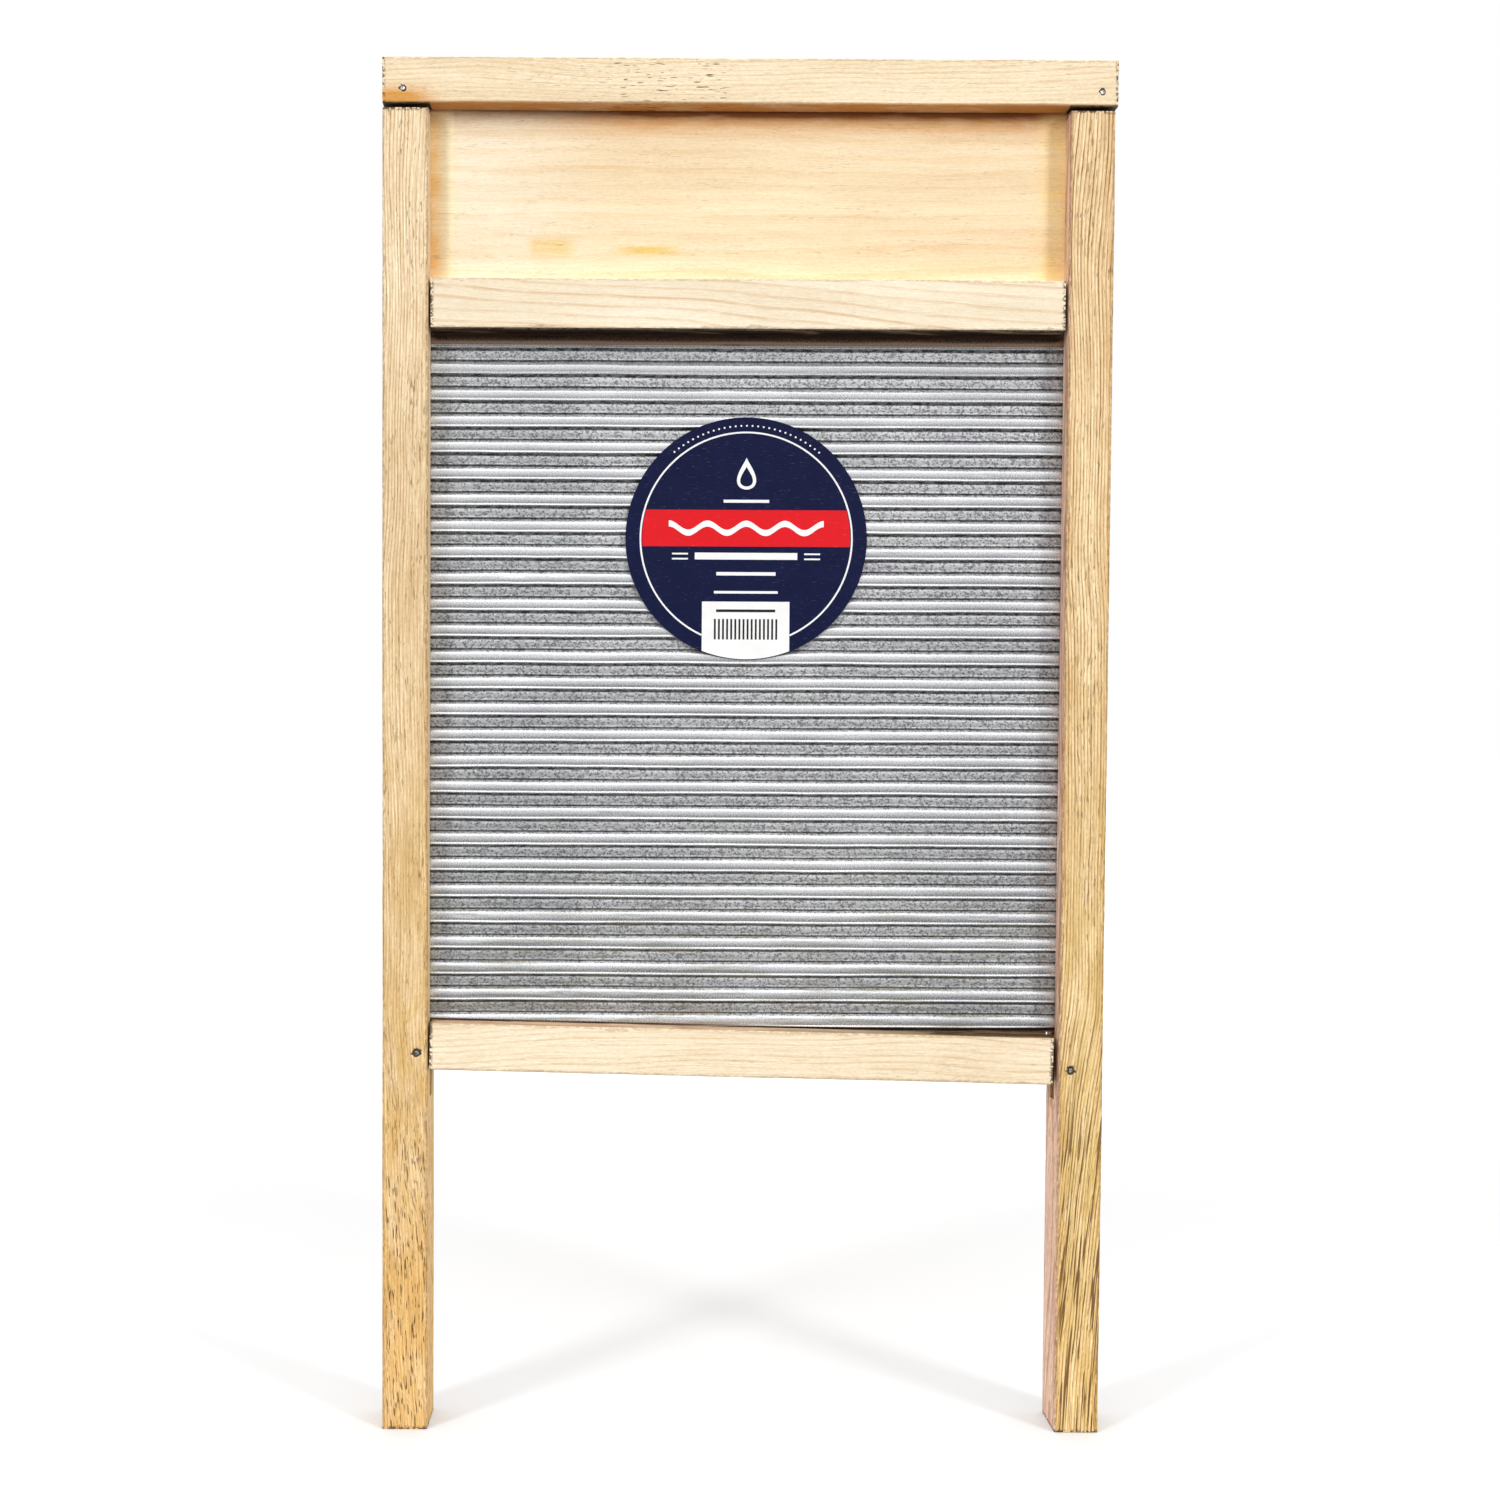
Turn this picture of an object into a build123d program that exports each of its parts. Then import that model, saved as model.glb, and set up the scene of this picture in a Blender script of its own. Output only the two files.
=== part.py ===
from build123d import *
from math import cos, radians, sin, tan
import os

# A free-standing wooden washboard: two grooved posts, three rails, a thin header panel over
# the rubbing surface, and a corrugated galvanised sheet backed by thin boards.
# X runs to the right, Y to the back and Z up. The origin is on the floor, under the middle
# of the frame. All sizes are in millimetres and angles in degrees.

# ---- overall size ----
overall_width = 317.0
overall_height = 598.0
stick_depth = 25.0
front_y = stick_depth / 2  # distance from the middle plane out to the front face

# ---- sawn sticks of the frame ----
left_post_width = 20.0
right_post_width = 19.5
right_overhang = 0.9  # the top rail stands this far past the right post
top_rail_height = 20.0
middle_rail_height = 22.0
middle_rail_top = 504.0
bottom_rail_height = 21.0
bottom_rail_middle = 167.3  # height of the bottom rail's centreline at x = 0
bottom_rail_tilt = 1.1  # the right end of this rail is nailed slightly low
arris_radius = 0.7  # planed-off long edges of every stick
foot_chamfer = 0.5

# ---- grooves, tongues and tenons ----
groove_width = 7.0
post_groove_depth = 8.0
post_groove_end = 146.0  # the posts' grooves stop this high above the floor
rail_groove_depth = 5.5
top_rail_groove_depth = 9.5
tongue_thickness = 6.6
shoulder_gap = 1.8  # open slit between a post's shoulder and the top rail
tongue_engagement = 9.0
tenon_length_clearance = 0.6
middle_rail_gaps = (1.0, 1.3)  # left and right, between shoulder and post
bottom_rail_gaps = (0.9, 2.4)

# ---- thin panels held in the grooves ----
panel_side_clearance = 1.0  # from a panel's edge to the bottom of a post's groove
header_panel_thickness = 6.4
header_panel_lap = 4.5
infill_top_lap = 4.5
infill_bottom = 175.9  # lower edge of the rub sheet and of the backing
backing_thickness = 3.6
backing_rear_clearance = 0.2
backing_joint_gap = 0.3
backing_names = ["backing_board_bottom", "backing_board_middle", "backing_board_top"]

# ---- corrugated rub sheet ----
sheet_gauge = 0.45
rib_count = 27
rib_pitch = 11.47
first_rib_height = 478.25
rib_height = 2.3
rib_crest_half_width = 1.7
rib_foot_half_width = 3.2
crest_outer_radius = 1.8
foot_outer_radius = 0.7
sheet_front_clearance = 0.2

# ---- paper label ----
label_radius = 53.0
label_height = 393.0
label_thickness = 0.15
label_standoff = 0.03

# ---- nails, driven from the front ----
nail_head_radius = 1.15
nail_head_thickness = 0.6
nail_shank_radius = 0.75
nail_straight_length = 17.0
nail_point_length = 2.0
nail_point_taper = 18.0
nail_hole_clearance = 0.02
top_nail_spots = [(-149.6, 584.4), (151.6, 584.2)]
bottom_nail_spots = [(-143.3, 166.8), (143.6, 160.6)]

# ---- sizes that follow from the ones above ----
top_rail_bottom = overall_height - top_rail_height
shoulder_height = top_rail_bottom - shoulder_gap
left_inner_x = -overall_width / 2 + left_post_width
right_inner_x = overall_width / 2 - right_overhang - right_post_width
middle_rail_bottom = middle_rail_top - middle_rail_height
panel_left_x = left_inner_x - post_groove_depth + panel_side_clearance
panel_right_x = right_inner_x + post_groove_depth - panel_side_clearance
panel_width = panel_right_x - panel_left_x
panel_centre_x = (panel_left_x + panel_right_x) / 2
infill_top = middle_rail_bottom + infill_top_lap
rib_front_y = -groove_width / 2 + sheet_front_clearance
valley_front_y = rib_front_y + rib_height

os.makedirs("parts", exist_ok=True)


def save(part, label):
    part.label = label
    export_step(part, f"parts/{label}.step")


def drill_nail_holes(spots):
    """Clearance holes for nails driven square into the front face."""
    with Locations(Plane.XZ.offset(front_y)):
        with Locations(*spots):
            CounterBoreHole(
                radius=nail_shank_radius + nail_hole_clearance,
                counter_bore_radius=nail_head_radius + nail_hole_clearance,
                counter_bore_depth=nail_head_thickness,
                depth=nail_straight_length + nail_point_length,
            )


def make_post(inner_x, width, side, nail_spots):
    """A post with its stopped groove and the tongue on its top. side is -1 left, 1 right."""
    centre_x = inner_x + side * width / 2
    with BuildPart() as post:
        with BuildSketch():
            with Locations((centre_x, 0)):
                Rectangle(width, stick_depth)
        extrude(amount=shoulder_height)
        fillet(post.edges().filter_by(Axis.Z), arris_radius)
        chamfer(post.faces().sort_by(Axis.Z)[0].edges(), foot_chamfer)
        with BuildSketch(Plane.XY.offset(shoulder_height)):
            with Locations((centre_x, 0)):
                Rectangle(width, tongue_thickness)
        extrude(amount=shoulder_gap + tongue_engagement)
        with BuildSketch(Plane.XY.offset(post_groove_end)):
            with Locations((inner_x + side * post_groove_depth / 2, 0)):
                Rectangle(post_groove_depth, groove_width)
        extrude(amount=overall_height - post_groove_end, mode=Mode.SUBTRACT)
        drill_nail_holes(nail_spots)
    return post.part


def make_rail(plane, height, gaps, groove_edges, nail_spots=()):
    """A rail between the posts, drawn on its own front-view plane.

    gaps are the shoulder gaps at the left and right post, and groove_edges holds 1 for a
    groove along the top edge and -1 for one along the bottom edge.
    """
    tenon_reach = post_groove_depth - tenon_length_clearance
    left_x = left_inner_x + gaps[0]
    right_x = right_inner_x - gaps[1]
    tip_left_x = left_inner_x - tenon_reach
    tip_right_x = right_inner_x + tenon_reach
    with BuildPart() as rail:
        with BuildSketch(plane):
            with Locations(((left_x + right_x) / 2, 0)):
                Rectangle(right_x - left_x, height)
        extrude(amount=stick_depth / 2, both=True)
        fillet(rail.edges().filter_by(Axis(plane.origin, plane.x_dir)), arris_radius)
        with BuildSketch(plane):
            with Locations(((tip_left_x + tip_right_x) / 2, 0)):
                Rectangle(tip_right_x - tip_left_x, height)
        extrude(amount=tongue_thickness / 2, both=True)
        with BuildSketch(plane):
            for edge in groove_edges:
                with Locations((0, edge * (height - rail_groove_depth) / 2)):
                    Rectangle(overall_width, rail_groove_depth)
        extrude(amount=groove_width / 2, both=True, mode=Mode.SUBTRACT)
        if nail_spots:
            drill_nail_holes(nail_spots)
    return rail.part


def make_nails(spots):
    """One solid for each nail: a small flat head, a round shank and a tapered point."""
    shank_end = front_y - nail_straight_length
    with BuildPart() as nails:
        with BuildSketch(Plane.XZ.offset(front_y)):
            with Locations(*spots):
                Circle(nail_head_radius)
        extrude(amount=-nail_head_thickness)
        with BuildSketch(Plane.XZ.offset(front_y)):
            with Locations(*spots):
                Circle(nail_shank_radius)
        extrude(amount=-nail_straight_length)
        with BuildSketch(Plane.XZ.offset(shank_end)):
            with Locations(*spots):
                Circle(nail_shank_radius)
        extrude(amount=-nail_point_length, taper=nail_point_taper)
    return nails.part


def rib_side(centre_z, offset):
    """Corners and corner radii of one rib's surface, offset back from the sheet's front.

    They run from the upper foot to the lower foot, as (y, z) points.
    """
    wall_slope = Vector(rib_foot_half_width - rib_crest_half_width, rib_height)
    wall_angle = wall_slope.get_angle(Vector(1, 0))
    corner_shift = offset * tan(radians(wall_angle / 2))
    foot = rib_foot_half_width - corner_shift
    crest = rib_crest_half_width - corner_shift
    valley_y = valley_front_y + offset
    crest_y = rib_front_y + offset
    points = [
        (valley_y, centre_z + foot),
        (crest_y, centre_z + crest),
        (crest_y, centre_z - crest),
        (valley_y, centre_z - foot),
    ]
    crest_radius = crest_outer_radius - offset
    foot_radius = foot_outer_radius + offset
    return points, [foot_radius, crest_radius, crest_radius, foot_radius]


def sheet_surface(offset):
    """The whole corrugated line from the sheet's top edge to its bottom edge."""
    points = [(valley_front_y + offset, infill_top)]
    radii = []
    for rib in range(rib_count):
        rib_points, rib_radii = rib_side(first_rib_height - rib * rib_pitch, offset)
        points += rib_points
        radii += rib_radii
    points.append((valley_front_y + offset, infill_bottom))
    return points, radii


# ---- posts ----
left_post = make_post(
    left_inner_x, left_post_width, -1, [top_nail_spots[0], bottom_nail_spots[0]]
)
save(left_post, "left_post")

right_post = make_post(
    right_inner_x, right_post_width, 1, [top_nail_spots[1], bottom_nail_spots[1]]
)
save(right_post, "right_post")

# ---- top rail, capping both posts ----
with BuildPart() as top_rail:
    with BuildSketch(Plane.XY.offset(top_rail_bottom)):
        Rectangle(overall_width, stick_depth)
    extrude(amount=top_rail_height)
    fillet(top_rail.edges().filter_by(Axis.X), arris_radius)
    with BuildSketch(Plane.XY.offset(top_rail_bottom)):
        Rectangle(overall_width, groove_width)
    extrude(amount=top_rail_groove_depth, mode=Mode.SUBTRACT)
    drill_nail_holes(top_nail_spots)
save(top_rail.part, "top_rail")

# ---- middle rail, grooved along both edges ----
middle_plane = Plane.XZ.offset(0)
middle_plane.origin = (0, 0, middle_rail_top - middle_rail_height / 2)
middle_rail = make_rail(middle_plane, middle_rail_height, middle_rail_gaps, (1, -1))
save(middle_rail, "middle_rail")

# ---- bottom rail, grooved along its top edge and nailed a little off level ----
bottom_plane = Plane(
    origin=(0, 0, bottom_rail_middle),
    x_dir=(cos(radians(bottom_rail_tilt)), 0, -sin(radians(bottom_rail_tilt))),
    z_dir=(0, -1, 0),
)
bottom_rail = make_rail(
    bottom_plane, bottom_rail_height, bottom_rail_gaps, (1,), bottom_nail_spots
)
save(bottom_rail, "bottom_rail")

# ---- header panel between the top and middle rails ----
header_panel_bottom = middle_rail_top - header_panel_lap
header_panel_height = top_rail_bottom + header_panel_lap - header_panel_bottom
with BuildPart() as header_panel:
    with BuildSketch(Plane.XY.offset(header_panel_bottom)):
        with Locations((panel_centre_x, 0)):
            Rectangle(panel_width, header_panel_thickness)
    extrude(amount=header_panel_height)
save(header_panel.part, "header_panel")

# ---- corrugated rub sheet ----
front_points, front_radii = sheet_surface(0)
back_points, back_radii = sheet_surface(sheet_gauge)
with BuildPart() as rub_sheet:
    with BuildSketch(Plane.YZ.offset(panel_left_x)):
        with BuildLine():
            front_line = FilletPolyline(*front_points, radius=front_radii)
            back_line = FilletPolyline(*back_points, radius=back_radii)
            Line(front_line @ 0, back_line @ 0)
            Line(front_line @ 1, back_line @ 1)
        make_face()
    extrude(amount=panel_width)
save(rub_sheet.part, "rub_sheet")

# ---- backing boards, stacked edge to edge behind the sheet ----
backing_y = groove_width / 2 - backing_rear_clearance - backing_thickness / 2
backing_pitch = (infill_top - infill_bottom + backing_joint_gap) / len(backing_names)
for index, name in enumerate(backing_names):
    with BuildPart() as backing_board:
        with BuildSketch(Plane.XY.offset(infill_bottom + index * backing_pitch)):
            with Locations((panel_centre_x, backing_y)):
                Rectangle(panel_width, backing_thickness)
        extrude(amount=backing_pitch - backing_joint_gap)
    save(backing_board.part, name)

# ---- round paper label on the crests of the ribs ----
with BuildPart() as paper_label:
    with BuildSketch(Plane.XZ.offset(label_standoff - rib_front_y)):
        with Locations((0, label_height)):
            Circle(label_radius)
    extrude(amount=label_thickness)
save(paper_label.part, "paper_label")

# ---- nails ----
save(make_nails(top_nail_spots), "top_rail_nails")
save(make_nails(bottom_nail_spots), "bottom_rail_nails")
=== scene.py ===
from functools import lru_cache
from math import asin, atan, cos, degrees, pi, radians, sin, sqrt

import bmesh
import bpy
import numpy as np
from mathutils import Euler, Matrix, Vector


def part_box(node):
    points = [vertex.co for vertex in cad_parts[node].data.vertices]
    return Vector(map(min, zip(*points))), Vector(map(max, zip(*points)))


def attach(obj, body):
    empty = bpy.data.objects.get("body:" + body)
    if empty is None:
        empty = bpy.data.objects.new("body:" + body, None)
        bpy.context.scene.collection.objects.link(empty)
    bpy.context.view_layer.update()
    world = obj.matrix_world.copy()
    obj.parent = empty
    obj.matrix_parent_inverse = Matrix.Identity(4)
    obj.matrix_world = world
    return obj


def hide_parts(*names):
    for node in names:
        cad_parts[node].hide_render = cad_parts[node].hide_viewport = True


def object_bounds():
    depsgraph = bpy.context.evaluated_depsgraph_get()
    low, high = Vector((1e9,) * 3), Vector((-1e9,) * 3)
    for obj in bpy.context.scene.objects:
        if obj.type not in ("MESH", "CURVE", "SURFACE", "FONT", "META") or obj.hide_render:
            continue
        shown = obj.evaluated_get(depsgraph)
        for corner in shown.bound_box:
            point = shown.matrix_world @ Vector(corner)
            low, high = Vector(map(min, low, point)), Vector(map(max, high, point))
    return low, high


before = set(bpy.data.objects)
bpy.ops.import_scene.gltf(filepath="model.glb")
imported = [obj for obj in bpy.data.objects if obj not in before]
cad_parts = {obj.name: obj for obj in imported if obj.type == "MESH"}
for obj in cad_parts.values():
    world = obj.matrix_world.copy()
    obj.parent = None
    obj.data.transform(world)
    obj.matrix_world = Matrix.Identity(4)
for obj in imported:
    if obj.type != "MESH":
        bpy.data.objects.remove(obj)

# A wooden washboard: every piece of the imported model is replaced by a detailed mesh.
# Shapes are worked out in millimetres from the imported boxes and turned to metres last.
MM = 0.001
cad_low, cad_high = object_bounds()


@lru_cache(maxsize=None)
def box_mm(node):
    """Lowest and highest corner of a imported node, in millimetres."""
    low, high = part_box(node)
    return np.array(low) / MM, np.array(high) / MM


BOTTOM_TILT = 1.1  # degrees: the bottom rail is nailed slightly off level


# ------------------------ smooth noise
@lru_cache(maxsize=None)
def random_table(seed, *shape):
    return np.random.default_rng(seed).uniform(-1, 1, shape)


def wander(position, spacing, seed):
    """Smooth random values from -1 to 1 along a line, one new value every spacing."""
    values = random_table(seed, 4096)
    scaled = np.asarray(position, float) / spacing + 1024
    low = np.floor(scaled).astype(int)
    share = scaled - low
    share = share * share * (3 - 2 * share)
    return values[low % 4096] * (1 - share) + values[(low + 1) % 4096] * share


def ripple(first, second, spacing, seed):
    """Smooth random values from -1 to 1 over a surface; spacing is (first, second)."""
    values = random_table(seed, 512, 512)
    scaled = [np.asarray(first, float) / spacing[0] + 256,
              np.asarray(second, float) / spacing[1] + 256]
    low = [np.floor(s).astype(int) for s in scaled]
    share = [s - f for s, f in zip(scaled, low)]
    share = [s * s * (3 - 2 * s) for s in share]
    a, b = low[0] % 512, low[1] % 512
    a2, b2 = (a + 1) % 512, (b + 1) % 512
    near = values[a, b] * (1 - share[1]) + values[a, b2] * share[1]
    far = values[a2, b] * (1 - share[1]) + values[a2, b2] * share[1]
    return near * (1 - share[0]) + far * share[0]


# ------------------------ mesh helpers
def in_scene(name, data):
    """A new object of the scene, made from its mesh, light or camera data."""
    made = bpy.data.objects.new(name, data)
    bpy.context.scene.collection.objects.link(made)
    return made


def object_from(name, points_mm, faces, smooth_angle=35, attributes=None):
    """A mesh object from millimetre points, with duplicate points merged."""
    mesh = bpy.data.meshes.new(name)
    mesh.from_pydata([tuple(p) for p in np.asarray(points_mm) * MM], [], faces)
    for label, values in (attributes or {}).items():
        layer = mesh.attributes.new(label, "FLOAT", "POINT")
        layer.data.foreach_set("value", np.asarray(values, np.float32))
    shape = bmesh.new()
    shape.from_mesh(mesh)
    bmesh.ops.remove_doubles(shape, verts=shape.verts, dist=2e-6)
    bmesh.ops.dissolve_degenerate(shape, edges=shape.edges, dist=2e-6)
    bmesh.ops.recalc_face_normals(shape, faces=shape.faces)
    shape.to_mesh(mesh)
    shape.free()
    mesh.shade_smooth()
    mesh.set_sharp_from_angle(angle=radians(smooth_angle))
    return in_scene(name, mesh)


def ring_faces(first, second, count):
    """Quads between two closed rings of points."""
    return [
        (first + i, first + (i + 1) % count, second + (i + 1) % count, second + i)
        for i in range(count)
    ]


def settle(piece, material, slot, *nodes):
    """Gives a finished piece its material and the root body, and hides the imported nodes it stands
    for; slot is not used.
    """
    piece.data.materials.append(material)
    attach(piece, "root")
    if nodes:
        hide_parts(*nodes)
    return piece


# ------------------------ sawn sticks
GROOVE = 7.0  # width of every groove
ARRIS = 0.75  # radius that the long edges are rubbed to
CORNER_STEPS = 4
FACE_POINTS = 34
STATION_STEP = 2.2
NAIL_REACH, NAIL_STEP = 2.6, 0.26  # the finer steps round a nail


def side_points(low, high, level, inward, depth):
    """The inside of a long side with a groove along its middle, as (through, level) points.

    inward is -1 or 1, the direction into the wood, and depth is the groove's depth.
    """
    middle = (low + high) / 2
    half = min(GROOVE / 2, 0.45 * (high - low))
    near, far = middle - half, middle + half
    wall = level + inward * np.linspace(0, depth, 3)
    points = [(b, level) for b in np.linspace(low, near, 6)[1:-1]]
    points += [(near, a) for a in wall]
    points += [(b, level + inward * depth) for b in np.linspace(near, far, 5)[1:-1]]
    points += [(far, a) for a in wall[::-1]]
    points += [(b, level) for b in np.linspace(far, high, 6)[1:-1]]
    return points


def section(a_low, a_high, b_low, b_high, radii, low_groove, high_groove):
    """A closed section. a runs across the stick in the board's plane, b runs back."""
    points, worn = [], []

    def add(a, b, wear=0.0):
        points.append((a, b))
        worn.append(wear)

    def corner(a, b, a_sign, b_sign, radius, start):
        middle_a, middle_b = a - a_sign * radius, b - b_sign * radius
        for step in range(CORNER_STEPS + 1):
            angle = start + pi / 2 * step / CORNER_STEPS
            add(middle_a + radius * cos(angle), middle_b + radius * sin(angle), 1.0)

    corner(a_low, b_low, -1, -1, radii[0], pi)
    for a in np.linspace(a_low + radii[0], a_high - radii[1], FACE_POINTS)[1:-1]:
        add(a, b_low)
    corner(a_high, b_low, 1, -1, radii[1], -pi / 2)
    for b, a in side_points(b_low + radii[1], b_high - radii[2], a_high, -1, high_groove):
        add(a, b)
    corner(a_high, b_high, 1, 1, radii[2], 0)
    for a in np.linspace(a_high - radii[2], a_low + radii[3], FACE_POINTS)[1:-1]:
        add(a, b_high)
    corner(a_low, b_high, -1, 1, radii[3], pi / 2)
    for b, a in side_points(b_low + radii[0], b_high - radii[3], a_low, 1, low_groove)[::-1]:
        add(a, b)
    return points, worn


def worn_radii(position, seed, base):
    """Radius of each of the four arrises at one place: planed, rubbed and chipped."""
    radii = []
    for corner in range(4):
        rubbed = 0.30 * wander(position, 23, seed + corner)
        small = 0.14 * wander(position, 3.1, seed + 20 + corner)
        chip = max(0.0, wander(position, 6.5, seed + 40 + corner) - 0.82) * 5.0
        radii.append(float(np.clip(base + rubbed + small + chip, 0.28, base + 1.5)))
    return radii


def stations(start, end, step, close_to=()):
    """Places along a stick, a step apart and much closer together around its nails."""
    places = list(np.linspace(start, end, max(2, int(round((end - start) / step)) + 1)))
    for centre in close_to:
        fine = centre + np.arange(-NAIL_REACH, NAIL_REACH + 0.1, NAIL_STEP)
        places += [place for place in fine if start < place < end]
    return sorted(places)


def make_stick(name, stretches, place, seed, body=None, nails=()):
    """A stick lofted through its section at many places along its length.

    stretches is a list of (start, end, a_low, a_high, b_low, b_high, low_groove,
    high_groove), each one part of the stick with its own section. place turns an
    (along, a, b) array into row coordinates. body is the stretch that is not hidden in
    a groove, and nails are (along, a, radius, depth) dents in the front face.
    """
    rings, worn, ends, groove_shade, centres = [], [], [], [], []
    visible = stretches[0][:2] if body is None else body
    for start, end, a_low, a_high, b_low, b_high, low_groove, high_groove in stretches:
        slender = b_high - b_low < GROOVE + 1
        hidden = float(slender)
        for along in stations(start, end, STATION_STEP, [nail[0] for nail in nails]):
            radii = [0.25] * 4 if slender else worn_radii(along, seed, ARRIS)
            sunk = 0.06 + 0.05 * np.array([wander(along, 70, seed + k) for k in range(4)])
            loop, wear = section(
                a_low + sunk[0], a_high - sunk[1], b_low + sunk[2], b_high - sunk[3],
                radii, low_groove, high_groove,
            )
            rings.append([(along, a, b) for a, b in loop])
            worn.append(wear)
            ends.append(max(0.0, min(along - visible[0], visible[1] - along)))
            groove_shade.append(hidden)
            centres.append([((a_low + a_high) / 2, (b_low + b_high) / 2)])
    points = np.array(rings, float)
    ring_size = points.shape[1]
    around = 1.3 * points[:, :, 1] + 0.9 * points[:, :, 2]
    rough = ripple(points[:, :, 0], around, (2.6, 2.0), seed + 60)
    spread = points[:, :, 1:] - np.array(centres)
    size = np.linalg.norm(spread, axis=2, keepdims=True)
    points[:, :, 1:] -= spread / size * (0.04 + 0.035 * rough)[:, :, None]
    dent = np.zeros(points.shape[:2])
    for along, across, radius, depth in nails:
        reach = np.hypot(points[:, :, 0] - along, points[:, :, 1] - across)
        ragged = 1 + 0.35 * ripple(points[:, :, 0], points[:, :, 1], (0.9, 0.9), seed + 70)
        front = points[:, :, 2] < stretches[0][4] + 0.5
        sink = front * np.clip(1.6 - reach / (radius * ragged), 0, 1)
        points[:, :, 2] += depth * sink
        dent = np.maximum(dent, sink)
    for ring, inward in ((0, 1), (-1, -1)):
        fray = ripple(around[ring], points[ring, :, 2], (1.9, 5.0), seed + 61 + ring)
        points[ring, :, 0] += inward * 0.14 * (1 + fray)
    faces = []
    for index in range(len(rings) - 1):
        faces += ring_faces(index * ring_size, (index + 1) * ring_size, ring_size)
    faces.append(tuple(range(ring_size))[::-1])
    faces.append(tuple((len(rings) - 1) * ring_size + i for i in range(ring_size)))
    return object_from(
        name,
        place(points.reshape(-1, 3)),
        faces,
        attributes={
            "worn": np.array(worn).ravel(),
            "from_end": np.repeat(np.array(ends), ring_size),
            "groove_shade": np.repeat(np.array(groove_shade), ring_size),
            "dent": dent.ravel(),
        },
    )


def upright(points):
    """Along the stick is up, a is across and b is back."""
    return np.stack([points[:, 1], points[:, 2], points[:, 0]], axis=1)


def level_at(height, tilt=0.0):
    """Places a stick lying across, at a height and turned clockwise by tilt degrees."""
    turn = radians(tilt)

    def place(points):
        along, up, back = points[:, 0], points[:, 1], points[:, 2]
        x = along * cos(turn) + up * sin(turn)
        z = height - along * sin(turn) + up * cos(turn)
        return np.stack([x, back, z], axis=1)

    return place


# ------------------------ node materials
class Graph:
    """A short way to write a material's nodes."""

    def __init__(self, name):
        self.material = bpy.data.materials.new(name)
        self.material.use_nodes = True
        self.tree = self.material.node_tree
        self.tree.nodes.clear()

    def node(self, kind, inputs=None, **settings):
        made = self.tree.nodes.new("ShaderNode" + kind)
        for key, value in settings.items():
            setattr(made, key, value)
        for key, value in (inputs or {}).items():
            self.feed(made.inputs[key], value)
        return made

    def feed(self, socket, value):
        if isinstance(value, bpy.types.NodeSocket):
            self.tree.links.new(value, socket)
        else:
            socket.default_value = value

    def math(self, operation, *values, clamp=False):
        made = self.node("Math", operation=operation, use_clamp=clamp)
        for socket, value in zip(made.inputs, values):
            self.feed(socket, value)
        return made.outputs[0]

    def times(self, first, second, clamp=False):
        return self.math("MULTIPLY", first, second, clamp=clamp)

    def times_plus(self, first, second, added):
        return self.math("MULTIPLY_ADD", first, second, added)

    def remap(self, value, low, high, to_low=0.0, to_high=1.0):
        made = self.node("MapRange", {"Value": value, "From Min": low, "From Max": high,
                                      "To Min": to_low, "To Max": to_high},
                         interpolation_type="SMOOTHSTEP")
        return made.outputs[0]

    def mix(self, share, first, second, blend="MIX"):
        made = self.node("Mix", data_type="RGBA", blend_type=blend)
        self.feed(made.inputs[0], share)
        self.feed(made.inputs[6], self.colour(first))
        self.feed(made.inputs[7], self.colour(second))
        return made.outputs[2]

    @staticmethod
    def colour(value):
        return (*value, 1.0) if isinstance(value, tuple) and len(value) == 3 else value

    def position(self, size=(1, 1, 1), offset=(0, 0, 0), order="XYZ"):
        """The row position, axes in the given order, in units of size mm, then shifted."""
        place = self.node("TexCoord").outputs["Object"]
        parts = self.node("SeparateXYZ", {0: place}).outputs
        joined = self.node("CombineXYZ")
        for axis, letter in enumerate(order):
            value = self.times(parts["XYZ".index(letter)], 1000.0)
            self.feed(joined.inputs[axis], value)
        mapped = self.node("Mapping", {"Vector": joined.outputs[0], "Location": offset,
                                       "Scale": tuple(1 / unit for unit in size)})
        return mapped.outputs[0]

    def noise(self, vector, detail=2.0, roughness=0.5, distortion=0.0):
        made = self.node("TexNoise", {"Vector": vector, "Scale": 1.0, "Detail": detail,
                                      "Roughness": roughness, "Distortion": distortion})
        return made.outputs[0]

    def attribute(self, label):
        return self.node("Attribute", attribute_name=label).outputs["Fac"]

    def finish(self, **inputs):
        """Ends the material in a Principled shader and returns the material."""
        shader = self.node("BsdfPrincipled")
        for key, value in inputs.items():
            label = key.replace("_", " ").title().replace("Ior", "IOR")
            self.feed(shader.inputs[label], self.colour(value))
        out = self.node("OutputMaterial")
        self.tree.links.new(shader.outputs[0], out.inputs[0])
        return self.material

    def bump(self, height, distance_mm, strength=1.0):
        made = self.node("Bump", {"Height": height, "Distance": distance_mm * MM,
                                  "Strength": strength})
        return made.outputs[0]


def coordinates(g):
    """X, Y and Z in millimetres, and S, the height measured from the tilted bottom rail."""
    place = dict(zip("XYZ", g.node("SeparateXYZ", {0: g.position()}).outputs))
    place["S"] = g.times_plus(place["X"], radians(BOTTOM_TILT), place["Z"])
    return place


def fade(g, place, ramps):
    """The product of ramps given as {axis: (where it is 0, where it is 1)} in millimetres.

    An axis used twice has a digit after its letter the second time.
    """
    share = 1.0
    for axis, (zero, one) in ramps.items():
        value = place[axis[0]]
        if zero < one:
            ramp = g.remap(value, zero, one)
        else:
            ramp = g.remap(value, one, zero, 1.0, 0.0)
        share = g.times(share, ramp)
    return share


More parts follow.
